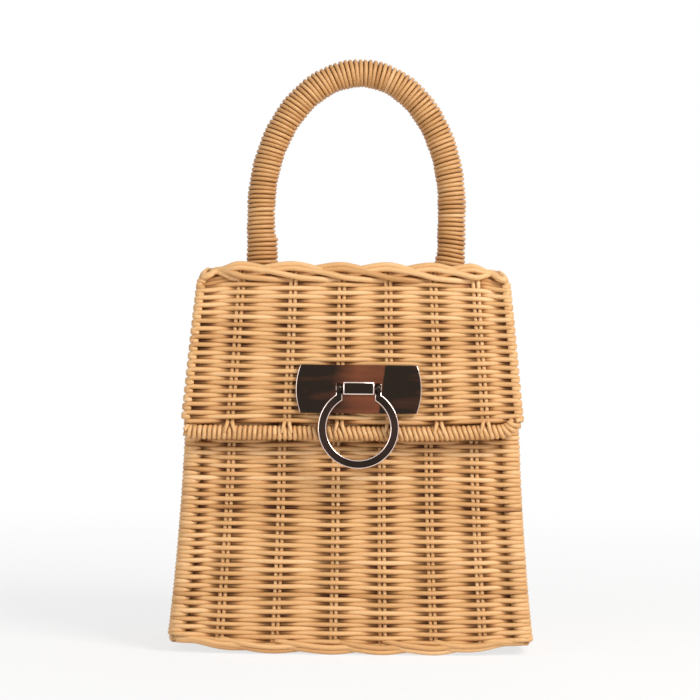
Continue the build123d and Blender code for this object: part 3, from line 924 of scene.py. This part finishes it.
class CANEBAG_OT_flap(bpy.types.Operator):
    """Weave the flap with one long cane that turns back round its edge stakes"""

    bl_idname = "canebag.flap"
    bl_label = "Flap"

    def execute(self, context):
        box = context.scene.cane_box
        lid = context.scene.cane_lid
        draw = np.random.RandomState(SEEDS["flap"])
        wander_start, tremble_run, turn_steps = 2.2, 2.6, 8
        hang_start, hang_run, hang_fade, hang_share = 17 * MM, 14 * MM, 9 * MM, 0.6
        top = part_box("flap_weave")[1][2]
        count = round((top - lid.flap_foot) / box.row_pitch)
        step = (top - lid.flap_foot) / count
        rows = Strands()
        points, tone, covers = [], [], []
        last = len(FLAP_SHARES) + 1
        spots = np.linspace(0, last, last * SPAN_STEPS + 1)
        for row in range(count):
            level = lid.flap_foot + (row + 0.5) * step
            half = flap_half(level)
            edge = half - box.sway - box.cane
            stops = [-edge, *(share * half for share in FLAP_SHARES), edge]
            xs = np.interp(spots, np.arange(last + 1), stops)
            turn = held_back(spots, [post for post in (0, last) if (post + row) % 2]) + row
            out = lid.flap_out + box.sway * wave(turn)
            near, far = cover(turn), cover(turn + 1)
            if row >= count - COVERED_ROWS:
                out = np.full_like(spots, lid.flap_out - box.sway)
                # Painted shade under the border
                near = np.full_like(spots, COVERED_SHADE)
            lift = wander(spots + wander_start, level)
            lift += TREMBLE * np.sin(TURN * spots / tremble_run + draw.uniform(0, TURN))
            hang = edge_share(xs, half, hang_start, hang_run) * math.exp((level - top) / hang_fade)
            drawn = drawn_up(xs, half) * math.exp((lid.flap_foot - level) / FOOT_FADE)
            lift += drawn - hang_share * lid.droop * hang
            line = points_of(xs, flap_spot(level + lift, out), level + lift)
            shade = tones(draw, spots, "flap")
            side = 1
            if row % 2:
                line, shade, near, far, side = line[::-1], shade[::-1], near[::-1], far[::-1], -1
            points.extend(line)
            tone.extend(shade)
            covers.extend(zip(near, far))
            end_lift = lift[-1 if side > 0 else 0]
            middle = (side * edge, flap_spot(level, lid.flap_out), level + end_lift)
            wrap_post(rows, draw, middle, 0 if side > 0 else math.pi, box.sway, box.cane)
            if row < count - 1:
                for share in np.linspace(0, 1, turn_steps)[1:-1]:
                    swing = math.pi * (share - 0.5)
                    z = level + end_lift + step * share
                    y = flap_spot(z, lid.flap_out + box.sway * math.sin(swing))
                    points.append((side * (edge + box.sway * math.cos(swing)), y, z))
                    tone.append(shade[-1])
                    covers.append((0.0, 0.0))
        # Painted shade where a stake covers the cane, and in the grooves between rows
        hollow_shade = ((0, -FACING_OUT, FACING_UP), *np.transpose(covers))
        rows.add(points, box.cane, UP, tone, hollow_shade=hollow_shade, groove_shade=(UP, ROW_GROOVE_SHADE))
        lay(rows, "flap_rows", "lid", "flap_weave")

        tip_below, tip_above, steps = 1.5 * MM, 3.5 * MM, 9
        levels = np.linspace(lid.flap_foot - tip_below, top + tip_above, steps)
        rods = Strands()
        for share in (-1, *FLAP_SHARES, 1):
            at_edge = abs(share) == 1
            track = []
            for level in levels[:-1] if at_edge else levels:
                half = flap_half(level) - (box.sway + box.cane if at_edge else 0)
                track.append((share * half, flap_spot(level, lid.flap_out + box.stake_out), level))
            offsets = (0.0,) if at_edge else (-box.pair, box.pair)
            stake_rods(rods, draw, np.array(track), np.array((0, -1, 0)), box.stake, offsets)
        lay(rods, "flap_rods", "lid", "flap_stakes")
        return {"FINISHED"}


# Turned-up ends of the flap's bound edge: distance from the edge, radius, and turn in degrees
RIM_LEFT = (5.5 * MM, 7.5 * MM, 28)
RIM_RIGHT = (11.9 * MM, 8.5 * MM, 70)


def rim_line(half, run):
    """Places along the flap's bound edge, and how far it has turned up there."""
    xs, zs, turns = run.copy(), np.zeros_like(run), np.zeros_like(run)
    for side, (inset, radius, _) in ((-1, RIM_LEFT), (1, RIM_RIGHT)):
        start = half - inset
        past = side * run > start
        turn = (side * run[past] - start) / radius
        xs[past] = side * (start + radius * np.sin(turn))
        zs[past] = radius * (1 - np.cos(turn))
        turns[past] = side * turn
    return xs, zs + drawn_up(xs, half), turns


class CANEBAG_OT_rim(bpy.types.Operator):
    """Bind the lower edge of the flap"""

    bl_idname = "canebag.rim"
    bl_label = "Flap Edge"

    def execute(self, context):
        lid = context.scene.cane_lid
        draw = np.random.RandomState(SEEDS["rim"])
        cane, half_tall, half_deep, groove_shade = 1.12 * MM, 3.75 * MM, 3.5 * MM, 0.45
        proud, inset = 0.7 * MM, 0.9 * MM
        tall = half_tall - cane
        deep = half_deep - cane
        middle_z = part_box("flap_rim_binding")[0][2] + tall + cane
        middle_y = flap_spot(middle_z, lid.flap_out + proud)
        half = flap_half(middle_z) - inset
        ends = [half - back + bend * math.radians(turn) for back, bend, turn in (RIM_LEFT, RIM_RIGHT)]
        turns = round((ends[0] + ends[1]) / lid.rim_turn)
        swing = np.linspace(0, turns * TURN, turns * COIL_STEPS + 1)
        run = np.linspace(-ends[0], ends[1], len(swing))
        slant = (0.3 + 1.3 * smooth((run + 0.6 * half) / (0.7 * half))) * MM
        xs, zs, turned = rim_line(half, run - slant * np.sin(swing))
        rise = tall * np.sin(swing)
        points = points_of(xs - rise * np.sin(turned), middle_y - deep * np.cos(swing),
                           middle_z + zs + rise * np.cos(turned))
        away = points_of(-np.sin(swing) * np.sin(turned), -np.cos(swing), np.sin(swing) * np.cos(turned))
        turn_tones = np.repeat(own_tone(draw, "binding", turns + 1), COIL_STEPS)[:len(swing)]
        winding = Strands()
        # Painted shade in the grooves between the turns of the binding
        winding.add(points, cane, away, turn_tones, groove_shade=(ACROSS, groove_shade))

        # Tails of the stakes, which spread in pairs over the binding
        share = np.linspace(0, 1, 10)
        aside = (1.15 + 1.3 * share) * MM
        out = 3.1 * MM * smooth(1.6 * share + 0.35)
        drop = (2.6 - 5.2 * share) * MM
        radius = (1.02 - 0.35 * share) * MM
        for place_share in FLAP_SHARES:
            x = place_share * flap_half(lid.flap_foot)
            level = middle_z + tall + drawn_up(x, half)
            for side in (-1, 1):
                track = points_of(x + side * aside, middle_y - out, level + drop)
                winding.add(track, radius, ACROSS, own_tone(draw, "tail"))
        lay(winding, "flap_edge_winding", "lid", "flap_rim_binding")

        rod, rod_apart, rod_tone, rod_steps = 1.7 * MM, 1.3 * MM, 0.3, 40
        filler = Strands()
        xs, zs, turned = rim_line(half, np.linspace(-ends[0], ends[1], rod_steps))
        for rise in (-rod_apart, rod_apart):
            track = points_of(xs - rise * np.sin(turned), middle_y, middle_z + zs + rise * np.cos(turned))
            filler.add(track, rod, (0, 1, 0), rod_tone)
        lay(filler, "flap_edge_rods", "lid", "flap_rim_rod")
        return {"FINISHED"}


def handle_line(handle, foot, middle, samples):
    """Middle line of the handle, its direction and its length, from the left foot to the right."""
    half = handle.span / 2
    swing = np.linspace(math.pi, 0, 361)
    xs = np.concatenate(([-half], half * np.cos(swing), [half])) + middle[0]
    zs = np.concatenate(([foot], foot + handle.leg + handle.rise * np.sin(swing), [foot]))
    xs += handle.lean * ((zs - foot) / (handle.leg + handle.rise)) ** 2
    reach = np.concatenate(([0.0], np.cumsum(np.hypot(np.diff(xs), np.diff(zs)))))
    run = np.linspace(0, reach[-1], samples)
    points = points_of(np.interp(run, reach, xs), middle[1], np.interp(run, reach, zs))
    return points, unit(np.gradient(points, axis=0)), reach[-1]


# Doubled turns at the feet of the handle: how many, over how much of a turn they end, how far they
# stand out, and how far they shift to the right
LEFT_FOOT = (7.5, 0.4, 0.75 * MM, 0.85 * MM)
RIGHT_FOOT = (3.4, 0.5, 0.5 * MM, -0.4 * MM)


class CANEBAG_OT_handle(bpy.types.Operator):
    """Wind the handle from foot to foot"""

    bl_idname = "canebag.handle"
    bl_label = "Handle"

    def execute(self, context):
        handle = context.scene.cane_handle
        draw = np.random.RandomState(SEEDS["handle"])
        cane, sunk, groove_shade = 1.14 * MM, 0.4 * MM, 0.75
        low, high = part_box("handle")
        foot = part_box("lid_mat")[1][2] - sunk
        middle = ((low[0] + high[0]) / 2, (low[1] + high[1]) / 2)
        turns = round(handle_line(handle, foot, middle, 2)[2] / handle.turn)
        samples = turns * COIL_STEPS + 1
        points, ahead, _ = handle_line(handle, foot, middle, samples)
        turn = np.linspace(0, turns, samples)
        swing = TURN * turn
        aside = np.array((0, 1, 0))
        away = np.cos(swing)[:, None] * aside + np.sin(swing)[:, None] * np.cross(ahead, aside)
        left_turns, left_end, left_out, left_shift = LEFT_FOOT
        right_turns, right_end, right_out, right_shift = RIGHT_FOOT
        left_layer = 1 - smooth((turn - left_turns) / left_end)
        right_layer = smooth((turn - turns + right_turns) / right_end)

        # Turns that lie unevenly, and slant more towards the right foot
        wound = 0.12 * MM * np.sin(swing / 7.3) + 0.06 * MM * np.sin(swing / 2.9)
        wound += left_out * left_layer + right_out * right_layer
        slant = 1.5 * MM * smooth((turn - turns + 16) / 14) * np.sin(swing)
        slant += 0.16 * MM * np.sin(swing / 3.7) * np.sin(swing + 0.7)
        track = points + (handle.radius - cane + wound)[:, None] * away + slant[:, None] * ahead
        track[:, 0] += left_shift * left_layer + right_shift * right_layer
        turn_tones = np.repeat(own_tone(draw, "handle", turns + 1), COIL_STEPS)[:samples]
        winding = Strands()
        # Painted shade in the grooves between the turns of the winding
        winding.add(track, cane, away, turn_tones, groove_shade=(ahead, groove_shade))
        settle(winding.build("handle_winding", wound_shaded_finish()), "lid", "handle_cane", "handle")

        # The core inside the winding takes the painted-shade colour, so the gaps between the turns show
        # painted shade
        core_sides, core_steps, core_inset, core_shade_tone = 12, 60, 1.5 * cane, -0.4
        core = Strands(core_sides)
        points = handle_line(handle, foot, middle, core_steps)[0]
        core.add(points, handle.radius - core_inset, (0, 1, 0), core_shade_tone)
        settle(core.build("handle_core", wound_shaded_finish()), "lid", "handle_cane")
        return {"FINISHED"}


# Metal

def clasp_frame(level, out):
    """Matrix of a plane that leans with the front wall, with its Z axis outwards."""
    lean = wall_half(0)[1] - wall_half(1)[1]
    up = Vector((0, lean, 1)).normalized()
    outward = Vector((0, -1, lean)).normalized()
    turn = Matrix((Vector(ACROSS), up, outward)).transposed().to_4x4()
    low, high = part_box("clasp_plate")
    return Matrix.Translation(((low[0] + high[0]) / 2, flap_spot(level, out), level)) @ turn


def edges_of(faces):
    """Edges of some faces, each once."""
    return list(dict.fromkeys(edge for face in faces for edge in face.edges))


def bevelled_plate(outline, low, high, bevel, steps):
    """Solid plate from a plan, with bevels on its upper and lower edges that take the second finish, a
    painted highlight.
    """
    level_share = 0.9
    shape = bmesh.new()
    floor = shape.faces.new([shape.verts.new((x, y, low)) for x, y in outline])
    floor.normal_flip()
    raised = bmesh.ops.extrude_face_region(shape, geom=[floor])
    moved = [item for item in raised["geom"] if isinstance(item, bmesh.types.BMVert)]
    bmesh.ops.translate(shape, verts=moved, vec=(0, 0, high - low))
    bmesh.ops.recalc_face_normals(shape, faces=shape.faces)
    edges = edges_of(face for face in shape.faces if abs(face.normal.z) > level_share)
    made = bmesh.ops.bevel(shape, geom=edges, offset=bevel, segments=steps, profile=0.5, affect="EDGES")
    # The bevel faces take the painted highlight
    for face in made["faces"]:
        face.material_index = 1
        face.smooth = True
    return shape


def finish_metal(name, shapes, matrix, finishes):
    """Joins metal shapes into one piece and sets it in its frame."""
    mesh = bpy.data.meshes.new(name)
    joined = bmesh.new()
    for shape in shapes:
        part = bpy.data.meshes.new(name + "_part")
        shape.to_mesh(part)
        shape.free()
        joined.from_mesh(part)
        bpy.data.meshes.remove(part)
    joined.transform(matrix)
    joined.to_mesh(mesh)
    joined.free()
    return place(name, mesh, *finishes)


def arc(centre, radius, start, end, count):
    """Points along an arc, in degrees."""
    swing = np.radians(np.linspace(start, end, count))
    return [(centre[0] + radius * math.cos(a), centre[1] + radius * math.sin(a)) for a in swing]


class CANEBAG_OT_clasp(bpy.types.Operator):
    """Make the clasp plate, its hinge block and its fixings"""

    bl_idname = "canebag.clasp"
    bl_label = "Clasp"

    def execute(self, context):
        clasp = context.scene.cane_clasp
        finish = context.scene.cane_finish
        matrix = clasp_frame(clasp.level, clasp.out)
        thickness, half_length, half_height, bow = 2 * MM, 29 * MM, 12 * MM, 2.2 * MM
        bow_steps, bevel_steps = 13, 3
        outline = []
        for side in (1, -1):
            for share in np.linspace(-1, 1, bow_steps):
                x = half_length + bow * (1 - share * share)
                outline.append((side * x, side * share * half_height))
        plate = bevelled_plate(outline, 0, thickness, clasp.bevel, bevel_steps)
        # Only the bevels at the bowed ends keep the painted highlight
        for face in plate.faces:
            if abs(face.calc_center_median().x) < half_length - clasp.bevel:
                face.material_index = 0
        dark, bright = plating()
        # The plate's face carries a painted reflection, a warm band
        reflection_finish = metal_finish("painted_reflection_plating", finish.metal, finish.metal_reflection, PLATING_ROUGH,
                              matrix.translation)
        face = finish_metal("clasp_face", [plate], matrix, (reflection_finish, bright))
        settle(face, "lid", "dark_metal", "clasp_plate")

        block_length, block_height, block_top = 7.7 * MM, 3.2 * MM, 8.2 * MM
        outline = [(x * block_length, y * block_height) for x, y in ((-1, -1), (1, -1), (1, 1), (-1, 1))]
        block = bevelled_plate(outline, thickness, block_top, 2 * clasp.bevel, bevel_steps)
        block = finish_metal("clasp_block", [block], matrix, (dark, bright))
        settle(block, "lid", "dark_metal", "clasp_knuckle")
        for name in ("clasp_pin", "clasp_backing", "snap_stud", "snap_socket"):
            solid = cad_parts[name]
            solid.data.materials.clear()
            solid.data.materials.append(dark)
        return {"FINISHED"}


class CANEBAG_OT_ring(bpy.types.Operator):
    """Make the drop ring"""

    bl_idname = "canebag.ring"
    bl_label = "Drop Ring"

    def execute(self, context):
        clasp = context.scene.cane_clasp
        pin_out, half_thick, bevel_steps = 5.1 * MM, 1.5 * MM, 2
        radius, bar, drop = 20 * MM, 4.2 * MM, 19.6 * MM
        near, far, eye = 8.0 * MM, 11.3 * MM, 2.4 * MM
        barrel_radius, barrel_sides, barrel_bevel = 2.8 * MM, 32, 0.35 * MM
        matrix = clasp_frame(clasp.level, clasp.out) @ Matrix.Translation((0, 0, pin_out))
        centre = (0, -drop)
        outer = math.degrees(math.acos(far / radius))
        inner = math.degrees(math.acos(near / (radius - bar)))
        outline = arc(centre, radius, outer, -180 - outer, clasp.sides)
        outline += [(-far, eye), (-near, eye)]
        outline += arc(centre, radius - bar, -180 - inner, inner, clasp.sides)
        outline += [(near, eye), (far, eye)]
        shapes = [bevelled_plate(outline[::-1], -half_thick, half_thick, 1.5 * clasp.bevel, bevel_steps)]
        for side in (-1, 1):
            barrel = bmesh.new()
            bmesh.ops.create_cone(barrel, cap_ends=True, segments=barrel_sides, radius1=barrel_radius,
                                  radius2=barrel_radius, depth=far - near)
            edges = edges_of(face for face in barrel.faces if len(face.verts) > 4)
            made = bmesh.ops.bevel(barrel, geom=edges, offset=barrel_bevel, segments=bevel_steps,
                                   affect="EDGES")
            for face in barrel.faces:
                face.smooth = len(face.verts) == 4
            # The bevels of the barrels take the painted highlight
            for face in made["faces"]:
                face.material_index = 1
            turn = Matrix.Rotation(math.pi / 2, 4, "Y")
            barrel.transform(Matrix.Translation((side * (near + far) / 2, 0, 0)) @ turn)
            shapes.append(barrel)
        settle(finish_metal("drop_ring", shapes, matrix, plating()), "ring", "dark_metal", "clasp_ring")
        return {"FINISHED"}


# Stage

# Lamps: name, place, size, power and colour, and the height that they all face
LAMPS = (
    ("key", (0.9, -1.0, 1.0), 0.7, 23.0, (1.0, 0.97, 0.93)),
    ("fill", (-1.0, -1.0, 0.6), 0.9, 5.8, (0.95, 0.97, 1.0)),
    ("back", (0.3, 1.1, 1.0), 0.8, 3.0, (1.0, 1.0, 1.0)),
)
LAMP_TARGET = 0.14

# Floor: half its size, and how its share of plain white grows with the distance from the bag
FLOOR_HALF = 6
FLOOR_FADE = {"From Min": 0.1, "From Max": 1.0, "To Min": 0.75, "To Max": 1.0}

# Light of the room, and the width of the camera's sensor in millimetres
ROOM_COLOUR = (0.93, 0.96, 1.0, 1)
ROOM_STRENGTH = 0.3
SENSOR_WIDTH = 36


def seen_directly(tree):
    """One where the camera, a gloss or a clear thing looks at the surface, and zero for its light."""
    path = node(tree, "LightPath")
    total = path.outputs["Is Camera Ray"]
    for name in ("Is Glossy Ray", "Is Transmission Ray"):
        step = node(tree, "Math", {0: total, 1: path.outputs[name]}, operation="MAXIMUM")
        total = step.outputs["Value"]
    return total


class CANEBAG_OT_stage(bpy.types.Operator):
    """Set the floor, the light and the camera"""

    bl_idname = "canebag.stage"
    bl_label = "Stage"

    def execute(self, context):
        scene = context.scene
        stage = scene.cane_stage
        shape = bmesh.new()
        bmesh.ops.create_grid(shape, x_segments=1, y_segments=1, size=FLOOR_HALF)
        mesh = bpy.data.meshes.new("floor")
        shape.to_mesh(mesh)
        shape.free()
        material, tree = new_finish("pale_floor")[:2]
        tree.nodes.clear()
        matt = node(tree, "BsdfDiffuse", {"Color": (*stage.floor, 1)}).outputs["BSDF"]
        glow = node(tree, "Emission", {"Color": WHITE, "Strength": 1.0}).outputs["Emission"]
        spot = node(tree, "NewGeometry").outputs["Position"]
        away = node(tree, "VectorMath", {0: spot}, operation="LENGTH").outputs["Value"]
        fade = node(tree, "MapRange", {"Value": away, **FLOOR_FADE}, interpolation_type="SMOOTHSTEP")
        pale = node(tree, "Math", {0: seen_directly(tree), 1: fade.outputs["Result"]}, operation="MULTIPLY")
        blend = node(tree, "MixShader", {"Fac": pale.outputs["Value"], 1: matt, 2: glow})
        node(tree, "OutputMaterial", {"Surface": blend.outputs["Shader"]})
        place("floor", mesh, material)

        world = bpy.data.worlds.new("soft_room")
        scene.world = world
        world.use_nodes = True
        tree = world.node_tree
        tree.nodes.clear()
        room = node(tree, "Background", {"Color": ROOM_COLOUR, "Strength": ROOM_STRENGTH})
        white = node(tree, "Background", {"Color": WHITE, "Strength": 1.0})
        lights = {1: room.outputs["Background"], 2: white.outputs["Background"]}
        blend = node(tree, "MixShader", {"Fac": seen_directly(tree), **lights})
        node(tree, "OutputWorld", {"Surface": blend.outputs["Shader"]})

        for name, spot, size, power, tint in LAMPS:
            lamp = bpy.data.lights.new(name, "AREA")
            lamp.size = size
            lamp.energy = power
            lamp.color = tint
            carrier = bpy.data.objects.new(name, lamp)
            carrier.location = spot
            facing = Vector((0, 0, LAMP_TARGET)) - Vector(spot)
            carrier.rotation_euler = facing.to_track_quat("-Z", "Y").to_euler()
            scene.collection.objects.link(carrier)

        lens = bpy.data.cameras.new("camera")
        lens.sensor_width = SENSOR_WIDTH
        lens.lens = stage.lens
        camera = bpy.data.objects.new("camera", lens)
        camera.location = (-stage.aside, -stage.distance, stage.height)
        camera.rotation_euler = (math.pi / 2, -stage.roll, 0)
        scene.collection.objects.link(camera)
        scene.camera = camera
        scene.view_settings.view_transform = "Standard"
        return {"FINISHED"}


OPERATORS = (
    CANEBAG_OT_wall,
    CANEBAG_OT_foot,
    CANEBAG_OT_mouth,
    CANEBAG_OT_lid,
    CANEBAG_OT_flap,
    CANEBAG_OT_rim,
    CANEBAG_OT_handle,
    CANEBAG_OT_clasp,
    CANEBAG_OT_ring,
    CANEBAG_OT_stage,
)

SETTINGS = {
    "cane_box": CaneBoxSettings,
    "cane_lid": CaneLidSettings,
    "cane_handle": CaneHandleSettings,
    "cane_clasp": CaneClaspSettings,
    "cane_finish": CaneFinishSettings,
    "cane_stage": CaneStageSettings,
}


class CANEBAG_PT_panel(bpy.types.Panel):
    """Panel of the bag's settings and steps"""

    bl_idname = "CANEBAG_PT_panel"
    bl_label = "Woven Cane Box Bag"
    bl_space_type = "VIEW_3D"
    bl_region_type = "UI"
    bl_category = "Cane Bag"

    def draw(self, context):
        layout = self.layout
        for name, group in SETTINGS.items():
            column = layout.column(align=True)
            for key in group.__annotations__:
                column.prop(getattr(context.scene, name), key)
        for operator in OPERATORS:
            layout.operator(operator.bl_idname)


def register():
    """Registers the settings, the steps and the panel."""
    for name, group in SETTINGS.items():
        bpy.utils.register_class(group)
        setattr(bpy.types.Scene, name, PointerProperty(type=group))
    for operator in OPERATORS:
        bpy.utils.register_class(operator)
    bpy.utils.register_class(CANEBAG_PT_panel)


def unregister():
    """Takes away what register added."""
    bpy.utils.unregister_class(CANEBAG_PT_panel)
    for operator in reversed(OPERATORS):
        bpy.utils.unregister_class(operator)
    for name, group in reversed(SETTINGS.items()):
        delattr(bpy.types.Scene, name)
        bpy.utils.unregister_class(group)


def main():
    """Makes every piece in order."""
    register()
    for operator in OPERATORS:
        group, name = operator.bl_idname.split(".")
        getattr(getattr(bpy.ops, group), name)()


if __name__ == "__main__":
    main()
